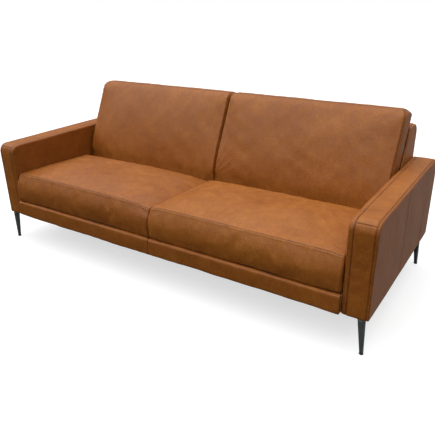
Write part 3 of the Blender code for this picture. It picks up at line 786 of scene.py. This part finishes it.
def make_back_frame():
    """The leather over the top, the ends and the rear of the back frame."""
    low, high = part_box("back_top_cover")
    rear_low, rear_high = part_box("back_rear_cover")
    corner, nose, thick = FRAME_CORNER, FRAME_NOSE, high.y - rear_low.y
    seam_z = rear_high.z + GAP
    half = high.x - END_PANEL
    front = float(lining_y(high.z))
    run = high.y - front - nose - corner
    total = math.pi / 2 * (nose + corner) + run + (high.z - corner - seam_z)
    xs = stops(-half, half, 0.014, 0.0022, 0.010)
    ss = stops(0, total, 0.008, 0.002, 0.010, (total,))
    points, quads = skin(xs, ss, np.linspace(0, 1, 4))
    x, s, w = points.T
    lift = 0.0015 * np.sin(math.pi * np.clip(s / total, 0, 1))
    centre, normal, radius = bent_line(s, front, high.z, 0, nose, run, corner)
    inset = thick * (1 - w) * 0.75 - lift * w
    points = np.stack([x, *(centre + normal * (radius - inset)[:, None]).T], -1)
    seam = np.minimum.reduce([half - np.abs(x), total - s]) + (1 - w) * 0.02
    leather_piece("back_top_band", points, quads, seam, 1, "frame", ("back_top_cover",), -0.1,
                  waves=0.0008, seed=400)

    ys = stops(0, 1, 0.045, 0.008, 0.05)
    zs = stops(low.z, high.z, 0.012, 0.003, 0.012)
    xs = stops(half + GAP, high.x, 0.004, 0.0016, 0.004, (high.x,))
    points, quads = skin(xs, ys, zs)
    x, v, z = points.T
    draw = round_end(high.x - x, 0.006) + 0.003 * np.exp(-(x - xs[0]) / 0.0025)
    foot_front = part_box("back_post_right")[0].y
    z = low.z + draw + (z - low.z) * (high.z - low.z - 2 * draw) / (high.z - low.z)
    edge = np.maximum(lining_y(z), foot_front) + draw
    y = edge + v * (high.y - draw - edge)
    flat = np.stack([x, y, z], -1)
    bounds_low, bounds_high = (edge, low.z + draw), (high.y - draw, high.z - draw)
    points = round_corners(flat, bounds_low, bounds_high, [0.004, 0.004, corner - draw, 0.010 - draw])
    seam = np.where(v * (1 - v) < 1e-9, x - xs[0], 0.02)
    for side, sign in SIDES:
        leather_piece(f"back_end_panel_{side}", points, quads, seam, sign, "frame", (), 0.3,
                      waves=0.0006, seed=420 + sign)

    xs = stops(-half, half, 0.014, 0.0022, 0.010)
    ys = stops(rear_low.y, rear_high.y, 0.004)
    zs = stops(rear_low.z, rear_high.z, 0.014, 0.0022, 0.010)
    points, quads, _ = bolster(xs, ys, zs, (0.004, 0.004), (0.001, 0.006, 0.003, 0.001))
    x, y, z = points.T
    rear = smooth_step(y, rear_low.y + 0.004, rear_high.y - 0.002)
    span_z = (z - rear_low.z) / (rear_high.z - rear_low.z) * 2 - 1
    points[:, 1] -= rear * 0.0030 * (1 - (1 - span_z**6) * (1 - (x / half) ** 8))
    seam = np.minimum(half - np.abs(x), rear_high.z - z) + (1 - rear) * 0.02
    leather_piece("back_rear_panel", points, quads, seam, 1, "frame", ("back_rear_cover",), -0.2,
                  waves=0.0014, seed=440)


# ---- cloths


def cloth_panel(name, node, us, surface, thick, sag, seed, grain):
    """A stretched cloth across the sofa.
    Surface gives y, z and the outward direction at places u along it."""
    low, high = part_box(node)
    xs = stops(low.x, high.x, 0.012, 0.004, 0.02)
    points, quads = skin(xs, us, np.array([0.0, 0.5, 1.0]))
    x, u, w = points.T
    y, z, out_y, out_z = surface(u)
    edge = np.minimum.reduce([x - low.x, high.x - x, u - us[0], us[-1] - u])
    slack = 0.5 + 0.5 * np.clip(uneven(on_line(x, u), grain, seed), -1, 1)
    phase = 2 * math.pi * x / 0.021 + 3 * uneven(on_line(x, u), 0.2, seed + 1)
    ripples = 0.5 + 0.5 * np.sin(phase)
    sunk = sag * (smooth_step(edge, 0, 0.05) * slack + 0.6 * ripples * np.exp(-edge / 0.02))
    lift = -thick * (1 - w) - sunk * w
    made = new_solid(name, np.stack([x, y + out_y * lift, z + out_z * lift], -1), quads.tolist())
    return dress(made, "frame", (node,), LINING)


def make_cloths():
    """The cloth behind the back cushions, the deck under the seat cushions and the cloth under the seat."""
    low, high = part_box("back_lining")
    lean = math.atan(BACK_LEAN)

    def leaning(u):
        return lining_y(u), u, -math.cos(lean), math.sin(lean)

    us = stops(low.z, high.z, 0.012)
    cloth_panel("back_lining_cloth", "back_lining", us, leaning, 0.009, 0.0016, 700, (0.2, 0.1, 1))
    for name, node, facing, sag in (("seat_deck_cloth", "seat_deck", 1, 0.0009),
                                    ("bottom_cloth", "dust_cover", -1, 0.0005)):
        low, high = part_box(node)
        level = high.z if facing > 0 else low.z

        def level_cloth(u):
            return u, 0 * u + level, 0, facing

        us = stops(low.y, high.y, 0.012)
        cloth_panel(name, node, us, level_cloth, high.z - low.z, sag, 710, (0.1, 0.1, 1))


def blocks(centres, sizes):
    """Points and faces of many small blocks."""
    signs = np.array([(i, j, k) for i in (-1, 1) for j in (-1, 1) for k in (-1, 1)]) / 2
    points = (centres[:, None] + signs[None] * sizes[:, None]).reshape(-1, 3)
    faces = [(0, 1, 3, 2), (4, 6, 7, 5), (0, 4, 5, 1), (2, 3, 7, 6), (0, 2, 6, 4), (1, 5, 7, 3)]
    return points, [tuple(8 * n + i for i in face) for n in range(len(centres)) for face in faces]


def make_zips():
    """A zip in each cushion: the tape, its teeth, and a slider with a puller."""
    for kind in ("seat", "back"):
        for side, sign in SIDES:
            body = f"{kind}_cushion_{side}"
            low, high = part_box(f"{body}_zip")
            upright = kind == "seat"
            face = high.y if upright else low.z
            middle = (low.z + high.z) / 2 if upright else (low.y + high.y) / 2
            half = (high.z - low.z) / 2 if upright else (high.y - low.y) / 2

            def placed(x, across, out):
                """Points from x, the place across the tape and the height above it."""
                if upright:
                    return np.stack([x, face + out, middle + across], -1)
                return np.stack([x, middle + across, face - out], -1)

            def sized(length, width, height):
                return (length, height, width) if upright else (length, width, height)

            xs = stops(low.x, high.x, 0.010)
            points, quads = skin(xs, np.linspace(-half, half, 9), np.array([-0.0012, 0.0, 0.0005]))
            x, across, out = points.T
            out = out - 0.0003 * (np.abs(across) / half) ** 4
            tape = new_solid(f"{body}_zip_tape", placed(x, across, out), quads.tolist())
            dress(tape, body, (f"{body}_zip",), ZIP_CLOTH)
            teeth_x = np.arange(low.x + 0.008, high.x - 0.008, TOOTH_PITCH)
            shift = np.where(np.arange(len(teeth_x)) % 2 == 0, 0.0006, -0.0006)
            centres = placed(teeth_x, shift, np.full(len(teeth_x), 0.0004))
            points, faces = blocks(centres, np.tile(sized(*TOOTH), (len(teeth_x), 1)))
            dress(new_solid(f"{body}_zip_teeth", points, faces, 0.0002), body, (), NYLON)
            at = high.x - 0.016 if sign > 0 else low.x + 0.016
            x = np.array([at, at - sign * 0.011])
            centres = placed(x, 0 * x, np.array([0.0004, 0.0006]))
            points, faces = blocks(centres, np.array([sized(*SLIDER), sized(*PULLER)]))
            slider = new_solid(f"{body}_zip_slider", points, faces, 0.0003)
            dress(slider, body, (), SPRING_STEEL)


# ---- legs


def lathe(name, rows, centre, y, sides=56):
    """A turned shape from (height, radius) rows, on a line whose x at a height is given."""
    angles = np.linspace(0, 2 * math.pi, sides, endpoint=False)
    shape = bmesh.new()
    loops = []
    for z, radius in rows:
        if radius == 0:
            loops.append([shape.verts.new((centre(z), y, z))])
            continue
        loops.append([shape.verts.new((centre(z) + radius * math.cos(a), y + radius * math.sin(a), z))
                      for a in angles])
    for low, high in zip(loops, loops[1:]):
        for i in range(sides):
            j = (i + 1) % sides
            if len(low) == 1:
                shape.faces.new((low[0], high[j], high[i]))
            elif len(high) == 1:
                shape.faces.new((low[i], low[j], high[0]))
            else:
                shape.faces.new((low[i], low[j], high[j], high[i]))
    bmesh.ops.recalc_face_normals(shape, faces=shape.faces)
    mesh = bpy.data.meshes.new(name)
    shape.to_mesh(mesh)
    shape.free()
    mesh.shade_smooth()
    mesh.set_sharp_from_angle(angle=math.radians(50))
    return in_scene(name, mesh)


def make_legs():
    """Turned legs that taper to a small nylon glide."""
    for side, sign in SIDES:
        for end in ("front", "rear"):
            leg_low, leg_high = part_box(f"leg_{end}_{side}")
            glide_low, glide_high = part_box(f"glide_{end}_{side}")
            foot = (glide_low + glide_high) / 2
            y = foot.y
            top_radius = LEG_TOP_RADIUS
            top_x = sign * (min(abs(leg_low.x), abs(leg_high.x)) + top_radius)
            top_z = ARM_FOOT - GAP
            foot_z = glide_high.z + GAP
            foot_radius = top_radius / 2
            rows = [(foot_z, 0), (foot_z, foot_radius - 0.0012), (foot_z + 0.0004, foot_radius - 0.0004),
                    (foot_z + 0.0012, foot_radius)]
            rows += [(foot_z + (top_z - foot_z) * t, foot_radius + (top_radius - foot_radius) * t)
                     for t in np.linspace(0.02, 0.985, 14)]
            rows += [(top_z - 0.0012, top_radius), (top_z - 0.0003, top_radius - 0.0006),
                     (top_z, top_radius - 0.0016), (top_z, 0)]

            def centre(z):
                share = (z - foot_z) / (top_z - foot_z)
                return foot.x + (top_x - foot.x) * share

            dress(lathe(f"steel_leg_{end}_{side}", rows, centre, y), "frame", (f"leg_{end}_{side}",),
                  STEEL)
            radius = (glide_high.x - glide_low.x) / 2
            rows = [(0, 0), (0, radius * 0.80), (0.0006, radius * 0.93), (0.0018, radius),
                    (glide_high.z - 0.0012, radius), (glide_high.z - 0.0003, radius * 0.95),
                    (glide_high.z, radius * 0.88), (glide_high.z, 0)]
            dress(lathe(f"glide_foot_{end}_{side}", rows, lambda z: foot.x, y), "frame",
                  (f"glide_{end}_{side}",), NYLON)


# ---- cushions


def blow_up(points, quads, held, height, cap):
    """The points after a cloth simulation whose largest rise is scaled to a wanted height."""
    trial = new_solid("trial", points, quads.tolist())
    moved = inflate(trial, held, INFLATION, CUT_SLACK)
    bpy.data.objects.remove(trial)
    usual_most = np.percentile(np.linalg.norm(moved, axis=1), 97)
    moved *= min(height / max(usual_most, 1e-6), MOST_SCALE)
    size = np.linalg.norm(moved, axis=1)
    moved *= (np.minimum(size, cap) / np.maximum(size, 1e-9))[:, None]
    return points + moved


def end_seam(points, depth, xs, rounds):
    """Distance to the seams round the two ends of a cushion."""
    nearest = np.full(len(points), 1.0)
    for place in (xs[0] + END_SEAM * rounds[0], xs[-1] - END_SEAM * rounds[1]):
        nearest = np.minimum(nearest, np.hypot(points[:, 0] - place, depth))
    return nearest


def with_place(values, place):
    """The values with the nearest inner one moved onto a place."""
    index = 1 + int(np.argmin(np.abs(values[1:-1] - place)))
    values[index] = place
    return values


def cushion_levels(x0, x1, rounds, step):
    """Places along a cushion, with one on the seam at each end."""
    xs = stops(x0, x1, step, 0.0035, 0.014)
    xs = with_place(xs, x0 + END_SEAM * rounds[0])
    return with_place(xs, x1 - END_SEAM * rounds[1])


def puckers(along, away, pitch, reach, seed):
    """Small folds that run away from a seam: along is measured on the seam, away from it."""
    rng = np.random.default_rng(seed)
    drift = uneven(on_line(along), (4 * pitch, 1, 1), seed)
    fold = np.sin(2 * math.pi * along / pitch + 2.2 * drift + rng.uniform(0, 6))
    strength = 0.55 + 0.45 * uneven(on_line(along), (6 * pitch, 1, 1), seed + 1)
    return fold * np.clip(strength, 0, 1.2) * np.exp(-away / reach)


def folds(x, z, lines):
    """Soft straight folds across a face, each (x, z, degrees, length, width, height)."""
    total = np.zeros(len(x))
    for at_x, at_z, degrees, length, width, height in lines:
        turn = math.radians(degrees)
        along = (x - at_x) * math.cos(turn) + (z - at_z) * math.sin(turn)
        across = -(x - at_x) * math.sin(turn) + (z - at_z) * math.cos(turn)
        across = across - 0.10 * along**2 / length
        share = np.clip(along / length, 0, 1)
        total += height * np.sin(math.pi * share**0.6) * np.exp(-((across / (width * (0.5 + share))) ** 2))
    return total


def make_seat_cushions():
    low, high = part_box("seat_cushion_right_cover")
    x0, x1 = low.x, high.x
    y0, y1, z0, z1 = low.y, high.y, low.z, SEAT_FRONT_TOP
    xs = cushion_levels(x0, x1, SEAT_ENDS, 0.013)
    ys = stops(y0, y1, 0.013, 0.0035, 0.014)
    zs = stops(z0, z1, 0.010, 0.0035, 0.014, (z1,))
    points, quads, depth = bolster(xs, ys, zs, SEAT_ENDS, SEAT_CORNERS)
    grid, _ = skin(xs, ys, zs)
    front_edge = np.hypot(grid[:, 1] - y0, grid[:, 2] - z1)
    ends = end_seam(grid, depth, xs, SEAT_ENDS)
    ends = ends + 0.25 * smooth_step(z1 - grid[:, 2], 0.002, 0.012)
    x, y, z = points.T
    rise = (z - z0) / (z1 - z0)
    along = (y - y0) / (y1 - y0)
    top_z = SEAT_FRONT_TOP + (SEAT_REAR_TOP - SEAT_FRONT_TOP) * along**1.6
    under = SEAT_UNDERCUT * (np.clip(SEAT_NOSE - rise, 0, 1) / SEAT_NOSE) ** 2
    over = SEAT_SETBACK * (np.clip(rise - SEAT_NOSE, 0, 1) / (1 - SEAT_NOSE)) ** 1.7
    front_y = y0 + 0.001 + under + over
    warped = np.stack([x, front_y + along * (y1 - front_y), z0 + rise * (top_z - z0)], -1)
    seam = np.minimum(front_edge, ends)
    held = (seam < 1e-5) | (grid[:, 2] < z0 + 1e-6)
    made = blow_up(warped, quads, held.astype(float), SEAT_CROWN, 0.030)
    made[:, 0] = np.clip(made[:, 0], x0, x1)
    made[:, 1] = np.minimum(made[:, 1], y1)
    made[:, 2] = np.maximum(made[:, 2], z0)
    for side, sign in SIDES:
        shape = made.copy()
        on_top = smooth_step(shape[:, 2], z1 - 0.07, z1 - 0.01)
        from_gap, from_arm = shape[:, 0] - x0, x1 - shape[:, 0]
        dip = 0.012 * np.exp(-from_gap / 0.05) + 0.010 * np.exp(-from_arm / 0.045)
        if sign < 0:
            dip += 0.010 * np.exp(-from_gap / 0.13)
        shape[:, 2] -= on_top * dip
        cushion(f"seat_cushion_{side}_leather", f"seat_cushion_{side}", shape, quads, sign,
                {"front": front_edge, "ends": ends}, 500 + 20 * sign, 0.35 if sign > 0 else -0.15, (),
                grid[:, 1] - y0 - 0.004 + 10 * (z1 - grid[:, 2]))


def make_back_cushions():
    low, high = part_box("back_cushion_right_cover")
    x0, x1, z0, z1 = low.x, high.x + 0.006, low.z, high.z
    thick = BACK_THICKNESS
    xs = cushion_levels(x0, x1, BACK_ENDS, 0.013)
    ys = with_place(stops(0, thick, 0.012, 0.0035, 0.012, (0, BACK_SEAM, thick)), BACK_SEAM)
    zs = stops(z0, z1, 0.013, 0.0045, 0.03, (z1,))
    points, quads, depth = bolster(xs, ys, zs, BACK_ENDS, BACK_CORNERS, 0.25)
    grid, _ = skin(xs, ys, zs)
    ends = end_seam(grid, depth, xs, BACK_ENDS)
    top = np.hypot(grid[:, 1] - BACK_SEAM, grid[:, 2] - z1)
    x, t, z = points.T
    from_gap = round_end(z1 - z, BACK_GAP_CORNER)
    from_end = round_end(z1 - z, BACK_TOP_CORNER)
    x = x0 + from_gap + (x - x0) * (x1 - x0 - from_gap - from_end) / (x1 - x0)
    share = t / thick
    seat_top = SEAT_REAR_TOP
    rear = lining_y(z) - 0.001
    front = np.maximum(lining_y(z), float(lining_y(seat_top))) - BACK_DEPTH + 0.008
    bend = smooth_step(z, seat_top - 0.05, seat_top + 0.05)
    front += 0.004 * np.sin(math.pi * bend)
    front += BACK_TUCK * np.exp(-np.clip(z - seat_top, 0, 1) / 0.055)
    rise = (z - z0) / (z1 - z0)
    near_gap = np.exp(-(x - x0) / 0.05)
    x = x + BACK_GAP * rise * near_gap
    fall = BACK_TOP_FALL * share**1.5 * smooth_step(z, 0.8, z1)
    warped = np.stack([x, front + share * (rear - front), z - fall], -1)
    gusset = (grid[:, 0] > x1 - 1e-6) * np.sin(math.pi * np.clip(share, 0, 1)) * smooth_step(z1 - z, 0, 0.05)
    warped[:, 0] += 0.004 * gusset
    seam = np.minimum(ends, top)
    held = (seam < 1e-5) | (np.abs(grid[:, 1] - thick) < 1e-6) | (grid[:, 2] < z0 + 1e-6)
    made = blow_up(warped, quads, held.astype(float), BACK_CROWN, 0.026)
    made[:, 0] = np.clip(made[:, 0], x0, x1 + 0.004)
    made[:, 2] = np.maximum(made[:, 2], z0)
    made[:, 1] = np.minimum(made[:, 1], lining_y(made[:, 2]) - 0.0005)
    lower = (made[:, 2] < seat_top) & (made[:, 1] < 0.09)
    made[:, 1] = np.where(lower, np.maximum(made[:, 1], BACK_FOOT_FRONT), made[:, 1])
    for side, sign in SIDES:
        cushion(f"back_cushion_{side}_leather", f"back_cushion_{side}", made, quads, sign,
                {"top": top, "ends": ends}, 600 + 20 * sign, 0.0, BACK_FOLDS[side],
                BACK_SEAM - 0.004 - grid[:, 1] + 10 * (z1 - grid[:, 2]))


def cushion(name, body, points, quads, sign, seams, seed, tone, lines, row):
    """One cushion: subdivided, mirrored, with its seams, puckers, folds and unevenness.
    Row is zero where the stitches beside the long seam run."""
    points = points * np.array([sign, 1, 1])
    obj = new_solid(name, points, quads.tolist())
    for key, distance in seams.items():
        set_values(obj.data, key, np.minimum(distance, 0.3))
    set_values(obj.data, "row", row)
    subdivide(obj)
    points = positions(obj.data)
    nearest = np.minimum.reduce([get_values(obj.data, key) for key in seams])
    lift = seam_relief(nearest, SEAM_DEPTH)
    away = smooth_step(nearest, 0, 0.09)
    lift += 0.0016 * away * uneven(points, (0.16, 0.16, 0.16), seed)
    lift += 0.0007 * away * uneven(points, (0.05, 0.05, 0.05), seed + 1)
    x = points[:, 0]
    facing = smooth_step(-normals(obj.data)[:, 1], 0.2, 0.6)
    lift += facing * folds(np.abs(x), points[:, 2], lines)
    for key in seams:
        distance = get_values(obj.data, key)
        run = points[:, 1] + points[:, 2] if key == "ends" else x
        height = END_PUCKERS if key == "ends" else LONG_PUCKERS
        lift += height * puckers(run, distance, 0.024, 0.016, seed + 7)
    move_to(obj.data, points + normals(obj.data) * lift[:, None])
    # Painted shade in the seam grooves: this mask darkens the cushion leather along its seams.
    set_values(obj.data, "seam", np.exp(-((nearest / SEAM_WIDTH) ** 2)))
    set_values(obj.data, "tone", np.full(len(points), tone))
    beside = get_values(obj.data, "row")
    chosen = np.nonzero((np.abs(beside) < 0.0012) & (get_values(obj.data, "ends") > 0.012))[0]
    chosen = chosen[np.unique(np.round(x[chosen], 3), return_index=True)[1]]
    up = normals(obj.data)[chosen]
    stitches(f"{body}_stitches", positions(obj.data)[chosen] + 0.0002 * up, up, body)
    for key in (*seams, "row"):
        obj.data.attributes.remove(obj.data.attributes[key])
    return dress(obj, body, (f"{body}_cover", f"{body}_core"), LEATHER)


# ---- camera, light and floor


def make_camera():
    data = bpy.data.cameras.new("camera")
    data.lens = CAMERA_LENS
    data.sensor_width = CAMERA_SENSOR
    data.clip_end = 2 * FLOOR_REACH
    camera = in_scene("camera", data)
    place = Matrix.Translation(CAMERA_PLACE)
    for angle, axis in ((CAMERA_YAW, "Z"), (math.pi / 2 - CAMERA_PITCH, "X"), (CAMERA_ROLL, "Z")):
        place = place @ Matrix.Rotation(angle, 4, axis)
    camera.matrix_world = place
    bpy.context.scene.camera = camera


def make_light():
    """A wide soft lamp overhead, a little in front and to the left, a sky brighter at the top, and a fill."""
    n = Nodes("studio", bpy.data.worlds, "Background", "Generated")

    def part(towards, start, end, low, high):
        """Light that grows with how far a direction points towards another."""
        dot = n.add("ShaderNodeVectorMath", {0: n.place, 1: towards}, operation="DOT_PRODUCT")
        return n.span(dot.outputs["Value"], low, high, start, end)

    sky = part((0, 0, 1), -0.05, 0.75, *SKY_STRENGTHS)
    fill = part((0.5, 0.85, 0.15), 0.15, 0.95, 0.0, FILL_STRENGTH)
    n.put(n.shader.inputs["Strength"], n.maths("ADD", sky, fill))
    n.put(n.shader.inputs["Color"], "#ffffff")
    bpy.context.scene.world = n.owner
    data = bpy.data.lights.new("key", "SUN")
    data.energy = KEY_STRENGTH
    data.angle = KEY_SIZE
    lamp = in_scene("key", data)
    lamp.rotation_euler = Vector(KEY_DIRECTION).to_track_quat("-Z", "Y").to_euler()
    bpy.context.scene.view_settings.view_transform = "Standard"


def stage_piece(name, points, faces, finish):
    """A piece of the studio, which the camera sees but which lights nothing."""
    obj = new_object(name, np.array(points, float), faces)
    obj.data.materials.append(finish)
    obj.visible_diffuse = False
    obj.visible_glossy = False
    return obj


def make_studio():
    """A plain pale floor, and a white wall far behind it all round."""
    reach = FLOOR_REACH
    corners = [(-reach, -reach), (reach, -reach), (reach, reach), (-reach, reach)]
    stage_piece("floor", [(x, y, 0) for x, y in corners], [(0, 1, 2, 3)], make_floor_finish())
    white = Nodes("white_wall").finish("#000000", 1.0, Specular_IOR_Level=0.0, Emission_Color="#ffffff",
                                       Emission_Strength=1.0)
    rows = [[(x * 0.99, y * 0.99, z) for x, y in corners] for z in (-reach / 50, reach)]
    sides = [(i, (i + 1) % 4, 4 + (i + 1) % 4, 4 + i) for i in range(4)]
    wall = stage_piece("wall", rows[0] + rows[1], sides, white)
    wall.visible_shadow = False


make_camera()
make_light()
make_studio()
make_arms()
make_aprons()
make_back_frame()
make_cloths()
make_zips()
make_legs()
make_seat_cushions()
make_back_cushions()
finish_cad_nodes()
